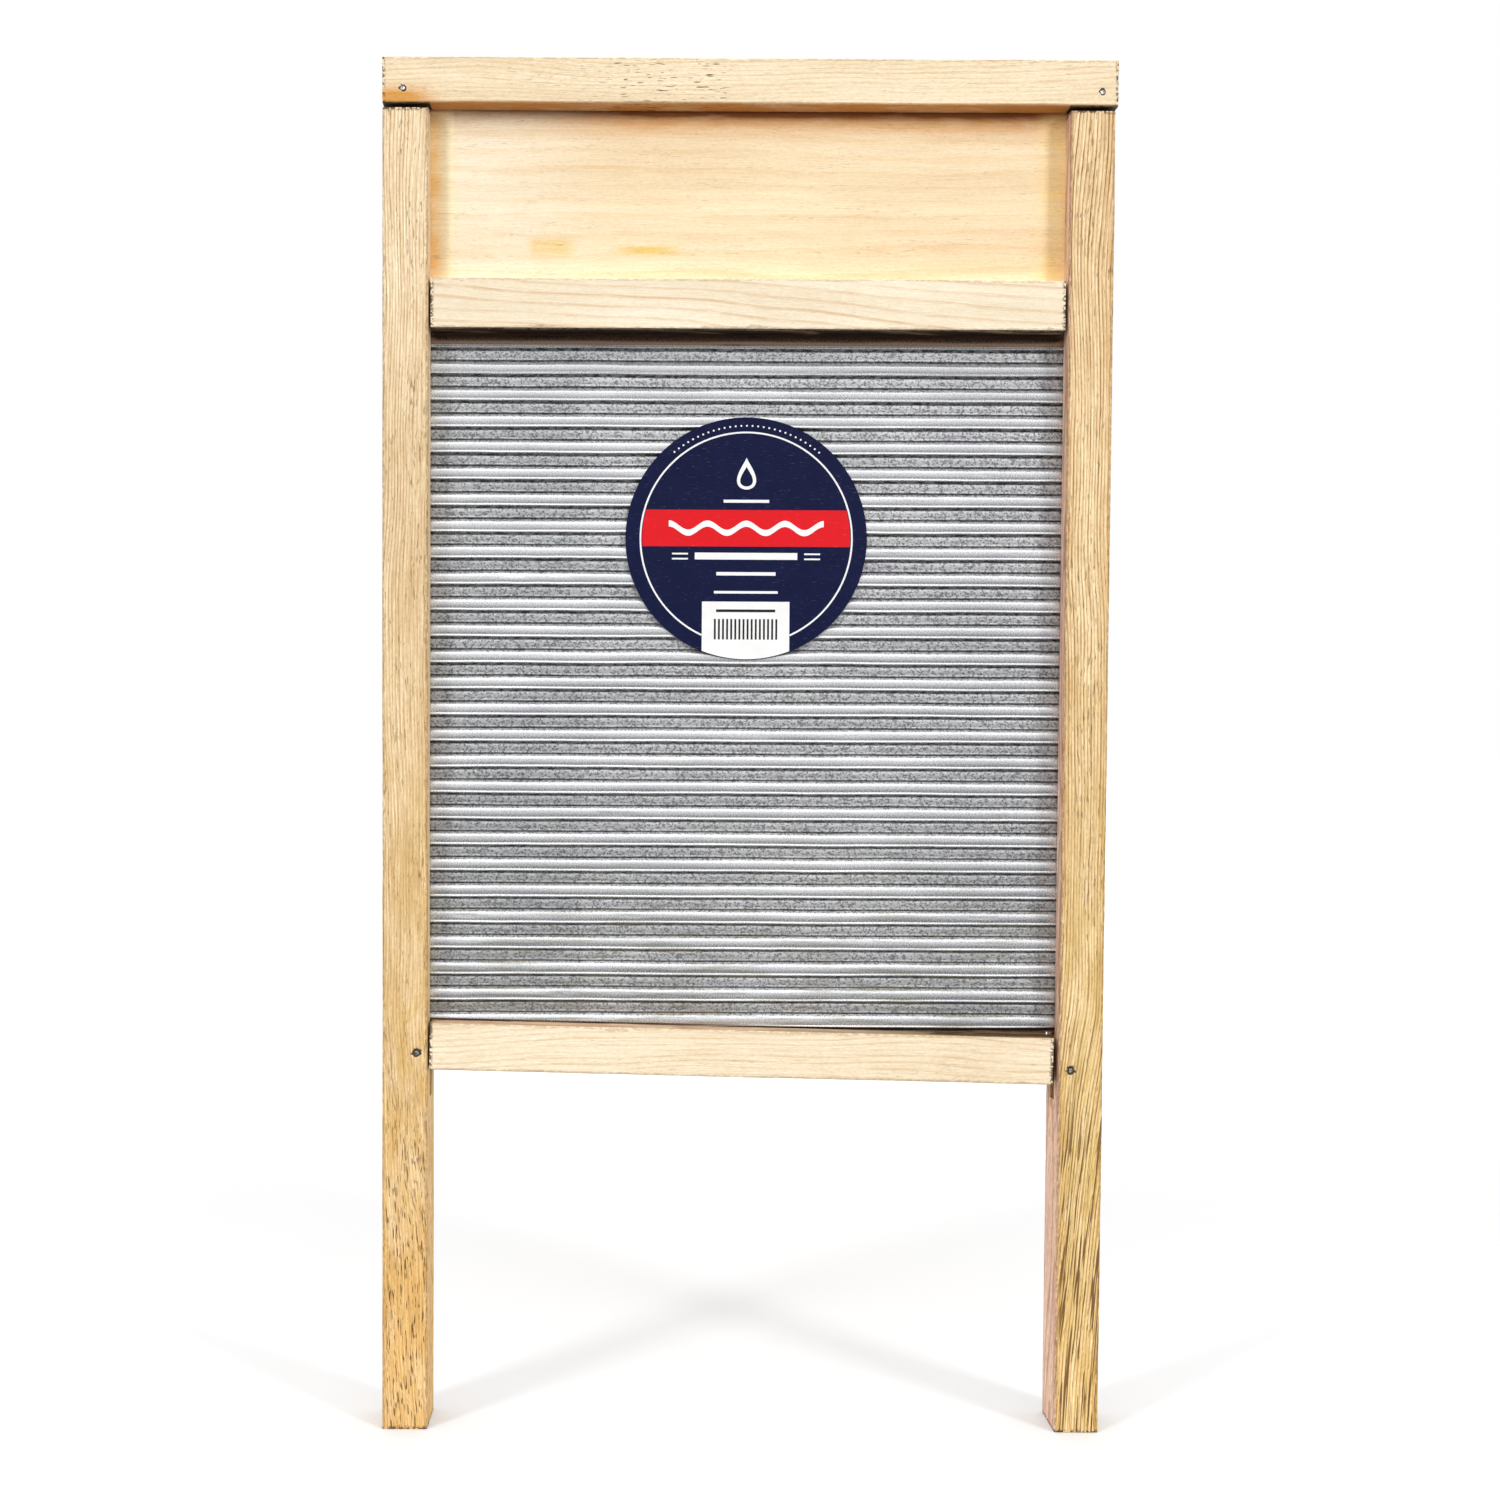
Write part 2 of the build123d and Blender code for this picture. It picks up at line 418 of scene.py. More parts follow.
def pine(name, grain, early, late, pith, ring_mm, seed, line=0.6, line_start=0.35, fleck=0.5,
         fleck_zone=None, fleck_size=(4.2, 0.5), fleck_gate=0.70, slope=0.0, slope_end=9999.0,
         sway=0.0, grainy=1.0, mottled=1.0, tints=(), streaks=None):
    """Softwood with growth rings round a far pith, fibre, resin flecks and soft tints.

    grain is "X" or "Z", the way the fibres run. pith is the ring centre across the grain,
    in millimetres, and ring_mm the width of one year's ring, which starts to darken at
    line_start of its width. slope leans the rings, up to slope_end along the stick, and
    sway bends them. fleck_zone is (ramps, ramps, size, gate) of a patch with more flecks;
    fewer noise peaks pass a higher gate.
    Each tint is (colour, share, ramps), laid on where its ramps say; some are stains and others are
    painted shade and painted light. streaks is (colour, ramps) of a flat-sawn face with long nested
    lines.
    """
    g = Graph(name)
    order = {"X": "XYZ", "Z": "ZXY"}[grain]

    def grown(length, width, more=0.0):
        """Noise coordinates for features length long with the grain and width across."""
        return g.node("Mapping", {
            "Vector": flow,
            "Scale": (1 / length, 1 / width, 1 / width),
            "Location": (seed * 37.0 / length + more, more * 3.1, more * 1.7),
        }).outputs[0]

    place = coordinates(g)
    flow = g.position(order=order)
    parts = g.node("SeparateXYZ", {0: flow}).outputs
    slow = g.math("SUBTRACT", g.noise(grown(210, 60), 2.0, 0.55), 0.5)
    quick = g.math("SUBTRACT", g.noise(grown(45, 9, 5.0), 2.0, 0.5), 0.5)
    across = g.math("POWER", g.math("SUBTRACT", parts[1], pith[0]), 2.0)
    through = g.math("POWER", g.math("SUBTRACT", parts[2], pith[1]), 2.0)
    distance = g.math("SQRT", g.math("ADD", across, through))
    if slope:
        distance = g.times_plus(g.math("MINIMUM", parts[0], slope_end), slope, distance)
    distance = g.times_plus(slow, 16.0, distance)
    distance = g.times_plus(quick, min(2.4, 0.8 * ring_mm), distance)
    if sway:
        bends = g.math("SUBTRACT", g.noise(grown(75, 60, 41.0), 1.0), 0.5)
        distance = g.times_plus(bends, sway, distance)
    # From here on the fibres, hairs and flecks follow the bends of the rings.
    flow = g.node("CombineXYZ", {0: parts[0], 1: distance, 2: parts[2]}).outputs[0]
    rings = g.math("DIVIDE", distance, ring_mm)
    year = g.math("FLOOR", rings)
    phase = g.math("SUBTRACT", rings, year)
    odd = g.node("TexWhiteNoise", {"W": year}, noise_dimensions="1D").outputs[0]
    latewood = g.times(g.remap(phase, line_start, 0.88),
                      g.remap(phase, 0.92, 1.0, 1.0, 0.0))
    latewood = g.times(latewood, g.times_plus(odd, 0.75, 0.35))
    broken = g.remap(g.noise(grown(16, 2.2, 9.0), 3.0, 0.6), 0.30, 0.62, 0.30, 1.1)
    latewood = g.times(latewood, g.times(broken, line), clamp=True)

    fibre = g.noise(grown(22, 0.6, 2.0), 3.0, 0.6)
    hair = g.noise(grown(5, 0.22, 7.0), 2.0, 0.6)
    mottle = g.noise(grown(1.9, 0.85, 19.0), 3.0, 0.7)
    drift = g.noise(grown(130, 22, 17.0), 2.0)
    shade = g.remap(drift, 0.3, 0.7, 0.95, 1.05)
    swings = ((fibre, 0.075 * grainy), (hair, 0.05 * grainy), (mottle, 0.09 * mottled))
    for value, swing in swings:
        shade = g.times(shade, g.remap(value, 0.25, 0.75, 1 - swing, 1 + swing))
    warm = g.node("CombineColor", {0: shade, 1: g.math("POWER", shade, 1.45),
                                   2: g.math("POWER", shade, 2.1)}).outputs[0]

    dashes = g.noise(grown(*fleck_size, 13.0), 1.0, 0.5)
    clusters = g.noise(grown(50, 7, 3.0), 2.0, 0.5)
    gate = g.remap(clusters, 0.35, 0.65, fleck_gate + 0.06, fleck_gate - 0.06)
    flecks = g.times(g.remap(g.math("SUBTRACT", dashes, gate), 0.0, 0.04), fleck)
    if fleck_zone:
        first_ramps, second_ramps, size, zone_gate = fleck_zone
        more = g.noise(grown(*size, 31.0), 1.0)
        more = g.remap(more, zone_gate - 0.02, zone_gate + 0.02, 0.0, 0.9)
        more = g.times(more, fade(g, place, first_ramps))
        more = g.times(more, fade(g, place, second_ramps))
        flecks = g.math("MAXIMUM", flecks, more)

    colour = g.mix(latewood, early, late)
    patchy = g.remap(g.noise(grown(34, 9, 23.0), 3.0, 0.6, 0.4), 0.3, 0.7, 0.45, 1.0)
    for tint, share, ramps in tints:
        amount = g.times(fade(g, place, ramps), g.times(patchy, share))
        colour = g.mix(amount, colour, tint)
        colour = g.mix(g.times(latewood, 0.6), colour, late)
    if streaks:
        figure = g.times(g.noise(grown(150, 17, 47.0), 0.0), 7.0)
        lines = g.remap(g.math("FRACT", figure), 0.45, 0.90, 0.0, 0.62)
        colour = g.mix(g.times(lines, fade(g, place, streaks[1])), colour, streaks[0])
    colour = g.mix(1.0, colour, warm, "MULTIPLY")
    colour = g.mix(flecks, colour, (0.11, 0.048, 0.012))

    normal = g.node("TexCoord").outputs["Normal"]
    facing = g.math("ABSOLUTE", g.node("SeparateXYZ", {0: normal}).outputs["XYZ".index(grain)])
    end_grain = g.remap(facing, 0.6, 0.95, 0.0, 0.6)
    colour = g.mix(end_grain, colour, tuple(c * 0.62 for c in late))
    specks = g.noise(grown(2.6, 1.0, 29.0), 3.0, 0.6)
    rubbed = g.times(g.attribute("worn"), g.remap(specks, 0.40, 0.56, 0.10, 0.5))
    colour = g.mix(rubbed, colour, tuple(c * 0.55 for c in late))
    near_end = g.remap(g.attribute("from_end"), 0.3, 1.9, 1.0, 0.0)
    near_end = g.times(near_end, g.remap(facing, 0.3, 0.7, 1.0, 0.15))
    ticks = g.remap(g.noise(g.position((1.1,) * 3), 2.0), 0.45, 0.53)
    colour = g.mix(g.times(near_end, g.times(ticks, 0.9)), colour,
                   (0.05, 0.03, 0.015))
    # Tongues and tenons hidden in the grooves are painted near black: painted shade in the gaps round
    # them.
    colour = g.mix(g.remap(g.attribute("groove_shade"), 0.0, 0.9), colour, (0.035, 0.018, 0.009))
    colour = g.mix(g.remap(g.attribute("dent"), 0.12, 0.45, 0.0, 0.94), colour, (0.03, 0.02, 0.012))

    height = g.times_plus(hair, 0.7, fibre)
    height = g.times_plus(mottle, 0.6, height)
    height = g.times_plus(latewood, 0.8, height)
    height = g.times_plus(flecks, -1.6, height)
    return g.finish(base_color=colour, roughness=g.remap(fibre, 0.2, 0.8, 0.55, 0.75),
                    specular_ior_level=0.22, normal=g.bump(height, 0.10, 0.6))


# Colours are linear red, green and blue.
AMBER = (0.60, 0.31, 0.085)
# The brown and the near black below are painted shade, laid where a rail's face, a slit or a recess
# lies in shade.
PAINTED_SHADE_BROWN = (0.34, 0.13, 0.04)
PAINTED_SHADE_BLACK = (0.02, 0.011, 0.006)
LEFT_POST_PINE = pine(
    "left_post_pine", "Z", (0.86, 0.67, 0.43), (0.43, 0.235, 0.075), (-260.0, -46.0), 1.3,
    seed=3, line=0.55, line_start=0.45, fleck=0.50, fleck_size=(5.0, 0.60), fleck_gate=0.675,
    fleck_zone=({"Z": (210.0, 90.0)}, {"X": (-158.5, -156.0)}, (6.0, 0.56), 0.63), slope=0.04,
    slope_end=180.0, grainy=2.1, mottled=0.7,
    tints=[((0.65, 0.425, 0.165), 1.2, {"Z": (540.0, 60.0)}),
           (AMBER, 0.55, {"Z": (230.0, 20.0)})],
)
RIGHT_POST_PINE = pine(
    "right_post_pine", "Z", (0.90, 0.67, 0.39), (0.34, 0.18, 0.048), (220.0, -30.0), 1.35,
    seed=11, line=0.70, line_start=0.45, fleck=0.55, fleck_size=(6.0, 0.65), fleck_gate=0.66,
    fleck_zone=({"Z": (215.0, 110.0)}, {"X": (138.5, 140.5)}, (32.0, 0.82), 0.585), slope=0.08,
    slope_end=185.0, sway=1.5, grainy=2.2, mottled=0.8,
    tints=[((0.69, 0.485, 0.19), 1.15, {"Z": (500.0, 90.0)}),
           (AMBER, 0.35, {"X": (144.0, 138.0)}), (AMBER, 0.35, {"X": (152.0, 157.5)}),
           ((0.72, 0.47, 0.35), 1.3, {"X": (139.2, 138.3)})],
    streaks=((0.36, 0.165, 0.095), {"X": (138.9, 138.2)}),
)
TOP_RAIL_PINE = pine(
    "top_rail_pine", "X", (0.87, 0.715, 0.49), (0.72, 0.48, 0.25), (-120.0, 690.0), 1.25,
    seed=5, line=0.24, line_start=0.45, fleck=0.35, grainy=0.8, mottled=0.7,
    fleck_zone=({"X": (-90.0, -42.0)}, {"X": (-4.0, -16.0)}, (5.5, 0.8), 0.68),
    tints=[((0.72, 0.34, 0.07), 1.4, {"X": (-128.0, -150.0), "Z": (588.5, 581.0)}),
           # Painted shade with a warm painted bounce on the rail's underside, and painted black shade
           # in the slits above the posts' shoulders.
           ((0.55, 0.23, 0.06), 1.5, {"Z": (579.6, 578.5)}),
           (PAINTED_SHADE_BLACK, 3.0, {"Z": (578.8, 578.3), "X": (-137.6, -138.8)}),
           (PAINTED_SHADE_BLACK, 3.0, {"Z": (578.8, 578.3), "X": (137.4, 138.6)})],
)
MIDDLE_RAIL_PINE = pine(
    "middle_rail_pine", "X", (0.905, 0.785, 0.59), (0.70, 0.46, 0.25), (30.0, 380.0), 4.6,
    seed=8, line=0.58, line_start=0.60, fleck=0.10, slope=0.075, grainy=0.7, mottled=0.5,
    # Painted black shade on the rail's underside.
    tints=[(PAINTED_SHADE_BLACK, 3.0, {"Z": (482.7, 482.15)})],
)
BOTTOM_RAIL_PINE = pine(
    "bottom_rail_pine", "X", (0.825, 0.685, 0.49), (0.64, 0.43, 0.19), (-90.0, 240.0), 1.9,
    seed=14, line=0.34, line_start=0.5, fleck=0.25, grainy=0.9, mottled=0.6,
    # Painted shade: the rail's top face darker brown, near black towards the right where the gap above
    # it opens.
    tints=[(PAINTED_SHADE_BROWN, 0.8, {"S": (177.3, 177.7)}),
           ((0.05, 0.024, 0.011), 1.6, {"S": (177.3, 177.7), "X": (-10.0, 100.0)})],
)
PANEL_TINTS = [
    # Painted shade under the top rail: a warm orange-brown falling off downwards, then the rail's
    # painted shadow.
    ((0.76, 0.40, 0.15), 1.2, {"Z": (562.0, 577.0)}),
    (PAINTED_SHADE_BROWN, 1.9, {"Z": (573.5, 578.0)}),
    ((0.95, 0.81, 0.60), 1.3, {"X": (-50.0, -112.0)}),
    # Painted warm shade and bounce light beside the right post.
    ((1.00, 0.70, 0.29), 1.0, {"X": (122.0, 134.0)}),
    # Painted light: a paler strip inside the shadow that the left post casts.
    ((1.00, 0.85, 0.56), 1.8, {"X": (-127.6, -129.6)}),
    # Painted warm shade and bounce light beside the left post.
    ((0.90, 0.56, 0.22), 1.2, {"X": (-131.0, -137.5)}),
    ((0.80, 0.55, 0.13), 0.9,
     {"X": (-62.0, -50.0), "X2": (-26.0, -36.0), "Z": (515.5, 517.5), "Z2": (521.0, 519.0)}),
    ((0.86, 0.62, 0.24), 0.9,
     {"X": (-98.0, -92.0), "X2": (-72.0, -82.0), "Z": (513.0, 518.0), "Z2": (526.0, 520.0)}),
]
PANEL_PINE = pine(
    "header_panel_pine", "X", (0.93, 0.74, 0.485), (0.82, 0.55, 0.26), (-36.0, 470.0), 6.5,
    seed=21, line=0.08, fleck=0.25, grainy=0.6, mottled=0.5,
    tints=[(tint, share, {**ramps, "Y": (1.0, -1.0)}) for tint, share, ramps in PANEL_TINTS],
)
BACKING_PINE = [
    pine(f"backing_pine_{index}", "X", (0.80, 0.63, 0.40), (0.60, 0.38, 0.18),
         (-60.0 - 25 * index, 150.0 + 110 * index), 4.6, seed=30 + index, fleck=0.3)
    for index in range(3)
]


# ------------------------ the frame's sticks
TONGUE = 3.3  # half the thickness of every tongue and tenon
POST_GROOVE = 8.0
RAIL_GROOVE = 5.5
GROOVE_END = 146.0  # the posts' grooves stop at this height
TOP_GROOVE = 9.5
SHOULDER_GAP = 1.8  # between the posts' shoulders and the top rail
MIDDLE_GAPS = (1.0, 1.3)  # between a rail's left and right end and the posts
BOTTOM_GAPS = (0.9, 2.4)
BOTTOM_HEIGHT, BOTTOM_MIDDLE = 21.0, 167.3  # the tilted rail's own height and its middle
PUNCHED_DENT = (1.55, 0.9)  # radius and depth of the wood's dent round a nail
SHALLOW_DENT = (1.20, 0.22)
EASE = 0.02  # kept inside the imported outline
FLUSH = 0.06  # how far a tongue stands inside a face that it would be level with


def nail_places(node):
    """The (x, z) of the two nails of a node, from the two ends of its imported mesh."""
    points = np.array([v.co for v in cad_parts[node].data.vertices]) / MM
    places = []
    for side in (points[points[:, 0] < 0], points[points[:, 0] > 0]):
        middle = (side.min(axis=0) + side.max(axis=0)) / 2
        places.append((middle[0], middle[2]))
    return places


def make_posts():
    for node, material, seed, side in (("left_post", LEFT_POST_PINE, 100, -1),
                                       ("right_post", RIGHT_POST_PINE, 200, 1)):
        low, high = box_mm(node)
        shoulder = box_mm("top_rail")[0][2] - SHOULDER_GAP
        grooves = (0.0, POST_GROOVE) if side < 0 else (POST_GROOVE, 0.0)
        front, back = low[1], high[1]
        tongue_low = low[0] if side < 0 else low[0] + POST_GROOVE
        tongue_high = high[0] - POST_GROOVE if side < 0 else high[0]
        stretches = [
            (low[2], GROOVE_END, low[0], high[0], front, back, 0.0, 0.0),
            (GROOVE_END, shoulder, low[0], high[0], front, back, *grooves),
            (shoulder, high[2] - EASE, tongue_low + FLUSH, tongue_high - FLUSH, -TONGUE, TONGUE,
             0.0, 0.0),
        ]
        x, z = nail_places("bottom_rail_nails")[side > 0]
        stick = make_stick(f"{node}_stick", stretches, upright, seed, body=(low[2], shoulder),
                           nails=[(z, x, *PUNCHED_DENT)])
        settle(stick, material, "tan_pine" if side < 0 else "amber_pine", node)


def make_top_rail():
    low, high = box_mm("top_rail")
    half = (high[2] - low[2]) / 2
    stretches = [(low[0], high[0], -half, half, low[1], high[1], TOP_GROOVE, 0.0)]
    nails = [(x, z - low[2] - half, *SHALLOW_DENT) for x, z in nail_places("top_rail_nails")]
    stick = make_stick("top_rail_stick", stretches, level_at(low[2] + half), 300, nails=nails)
    settle(stick, TOP_RAIL_PINE, "cream_pine", "top_rail")


def make_cross_rail(node, material, seed, height, gaps, grooves, middle, tilt):
    """A rail between the posts: its body and a stub tenon at each end."""
    left_inner = box_mm("left_post")[1][0]
    right_inner = box_mm("right_post")[0][0]
    reach = POST_GROOVE - 0.6
    left, right = left_inner + gaps[0], right_inner - gaps[1]
    half = height / 2
    tenon = (-half + grooves[0] + FLUSH, half - grooves[1] - FLUSH, -TONGUE, TONGUE, 0.0, 0.0)
    front, back = box_mm("top_rail")[0][1], box_mm("top_rail")[1][1]
    stretches = [
        (left_inner - reach, left, *tenon),
        (left, right, -half, half, front, back, *grooves),
        (right, right_inner + reach, *tenon),
    ]
    stick = make_stick(f"{node}_stick", stretches, level_at(middle, tilt), seed,
                       body=(left, right))
    settle(stick, material, "pale_pine", node)


make_posts()
make_top_rail()
middle_low, middle_high = box_mm("middle_rail")
make_cross_rail(
    "middle_rail", MIDDLE_RAIL_PINE, 400, middle_high[2] - middle_low[2], MIDDLE_GAPS,
    (RAIL_GROOVE, RAIL_GROOVE), (middle_low[2] + middle_high[2]) / 2, 0.0,
)
make_cross_rail(
    "bottom_rail", BOTTOM_RAIL_PINE, 500, BOTTOM_HEIGHT, BOTTOM_GAPS,
    (0.0, RAIL_GROOVE), BOTTOM_MIDDLE, BOTTOM_TILT,
)


# ------------------------ thin boards
def make_board(name, node, material, slot, seed, dish):
    """A thin sawn board with eased edges and slightly wavy faces."""
    low, high = box_mm(node)
    columns, rows = 150, 34
    x = np.linspace(low[0] + EASE, high[0] - EASE, columns)
    z = np.linspace(low[2] + EASE, high[2] - EASE, rows)
    grid_x, grid_z = np.meshgrid(x, z)
    ease = 0.5
    rim = np.minimum(np.minimum(grid_x - low[0], high[0] - grid_x),
                     np.minimum(grid_z - low[2], high[2] - grid_z))
    rounding = ease * np.clip(1 - rim / 1.2, 0, 1) ** 2
    wave = dish * (1 + ripple(grid_x, grid_z, (90, 26), seed)) / 2
    fine = 0.03 * (1 + ripple(grid_x, grid_z, (14, 2.5), seed + 1)) / 2
    front = np.stack([grid_x, low[1] + 0.01 + rounding + wave + fine, grid_z], axis=2)
    back = np.stack([grid_x, high[1] - 0.01 - rounding - wave - fine, grid_z], axis=2)
    points = np.concatenate([front.reshape(-1, 3), back.reshape(-1, 3)])
    faces = sheet_faces(rows, columns)
    board = object_from(name, points, faces, attributes={"from_end": np.full(len(points), 9.0)})
    settle(board, material, slot, node)


def sheet_faces(rows, columns):
    """Faces of a closed slab whose front and back grids follow each other in the points."""
    def at(row, column, back=0):
        return back * rows * columns + row * columns + column

    faces = []
    for row in range(rows - 1):
        for column in range(columns - 1):
            corner = [(row, column), (row, column + 1), (row + 1, column + 1), (row + 1, column)]
            faces.append(tuple(at(r, c) for r, c in corner))
            faces.append(tuple(at(r, c, 1) for r, c in corner[::-1]))
    top, end = rows - 1, columns - 1
    for column in range(end):
        faces.append((at(0, column + 1), at(0, column), at(0, column, 1), at(0, column + 1, 1)))
        faces.append((at(top, column), at(top, column + 1), at(top, column + 1, 1), at(top, column, 1)))
    for row in range(top):
        faces.append((at(row, 0), at(row + 1, 0), at(row + 1, 0, 1), at(row, 0, 1)))
        faces.append((at(row + 1, end), at(row, end), at(row, end, 1), at(row + 1, end, 1)))
    return faces


make_board("header_board", "header_panel", PANEL_PINE, "panel_pine", 600, 0.15)
for index, place_name in enumerate(("bottom", "middle", "top")):
    make_board(f"backing_slat_{place_name}", f"backing_board_{place_name}",
               BACKING_PINE[index], "backing_pine", 610 + 3 * index, 0.08)


# ------------------------ rub sheet
RIB_COUNT = 27
RIB_PITCH = 11.47
FIRST_RIB = 478.25
SHEET_GAUGE = 0.45
# The pressed metal down one pitch, from a rib's upper foot: (share, height, darkening of it: dirty
# creases and painted shade on the lower walls).
RIB_OUTLINE = [
    (0.000, 0.04, 0.85), (0.018, 0.10, 0.25), (0.045, 0.60, 0.00), (0.080, 1.12, 0.00),
    (0.115, 1.50, 0.00), (0.150, 1.72, 0.00), (0.190, 1.85, 0.04), (0.260, 1.96, 0.10),
    (0.330, 1.98, 0.16), (0.395, 1.88, 0.30), (0.415, 1.90, 0.10), (0.438, 2.10, 0.00),
    (0.464, 2.26, 0.00), (0.484, 2.22, 0.42), (0.502, 1.75, 0.90), (0.540, 1.00, 1.00),
    (0.575, 0.50, 0.96), (0.600, 0.36, 0.48), (0.625, 0.44, 0.10), (0.680, 0.52, 0.15),
    (0.760, 0.50, 0.24), (0.850, 0.44, 0.36), (0.885, 0.44, 0.24), (0.920, 0.52, 0.10),
    (0.940, 0.44, 0.68), (0.965, 0.15, 0.92), (0.985, 0.04, 0.97), (1.000, 0.04, 0.85),
]


def rib_outline_at(share, column):
    shares = [row[0] for row in RIB_OUTLINE]
    return np.interp(share, shares, [row[column] for row in RIB_OUTLINE])


def make_rub_sheet():
    low, high = box_mm("rub_sheet")
    samples = np.array([row[0] for row in RIB_OUTLINE[:-1]])
    samples = np.unique(np.concatenate([samples, (samples + np.append(samples[1:], 1.0)) / 2]))
    foot = FIRST_RIB + 0.29 * RIB_PITCH  # where the uppermost rib starts
    down = (np.arange(RIB_COUNT)[:, None] + samples[None, :]).ravel() * RIB_PITCH
    down = np.concatenate([[-(high[2] - EASE - foot), -2.0], down])
    down = down[foot - down > low[2] + EASE]
    down = np.append(down, foot - low[2] - EASE)
    share = np.where(down < 0, 0.0, (down / RIB_PITCH) % 1.0)
    share = np.where(down >= RIB_COUNT * RIB_PITCH, 0.0, share)
    height = rib_outline_at(share, 1)
    dirt_and_shade = rib_outline_at(share, 2)
    kernel = np.array([0.15, 0.7, 0.15])
    height = np.convolve(np.pad(height, 1, mode="edge"), kernel, mode="valid")
    x = np.linspace(low[0] + EASE, high[0] - EASE, 96)
    grid_x, grid_down = np.meshgrid(x, down)
    grid_height = np.repeat(height[:, None], len(x), axis=1)
    rib_number = np.floor(np.clip(grid_down, 0, None) / RIB_PITCH)
    sway = 0.16 * ripple(grid_x, rib_number * 7.0, (34, 4), 700)
    sway += 0.07 * ripple(grid_x, grid_down, (9, 4), 701)
    soft = 1.0 - 0.05 * (1 + ripple(grid_x, grid_down, (24, 6), 702))
    dents = np.clip(ripple(grid_x, grid_down, (7, 5), 703) - 0.72, 0, 1) * 0.9
    grid_height = np.clip(grid_height * soft - dents * (grid_height > 1.2), 0.0, 2.27)
    edge = np.minimum(grid_down - down[0], down[-1] - grid_down)
    sway *= np.clip(edge / 3.0, 0, 1)
    valley_y = high[1] - SHEET_GAUGE - 0.01
    front = np.stack([grid_x, valley_y - grid_height, foot - grid_down + sway], axis=2)
    d_row = np.gradient(front, axis=0)
    d_column = np.gradient(front, axis=1)
    normal = np.cross(d_row, d_column)
    normal /= np.linalg.norm(normal, axis=2, keepdims=True)
    normal *= np.sign(normal[:, :, 1:2])
    back = front + normal * SHEET_GAUGE * 0.8
    back[:, :, 1] = np.minimum(back[:, :, 1], high[1] - 0.005)
    back[:, :, 2] = np.clip(back[:, :, 2], low[2] + EASE, high[2] - EASE)
    back[:, :, 0] = front[:, :, 0]
    points = np.concatenate([front.reshape(-1, 3), back.reshape(-1, 3)])
    crest = np.repeat(np.clip((height - 0.6) / 1.1, 0, 1), len(x))
    masks = {"crest": np.tile(crest, 2), "dirt_and_shade": np.tile(np.repeat(dirt_and_shade, len(x)), 2)}
    sheet = object_from("rub_sheet_metal", points, sheet_faces(len(down), len(x)),
                        smooth_angle=60, attributes=masks)
    settle(sheet, galvanised(low), "galvanised_steel", "rub_sheet")


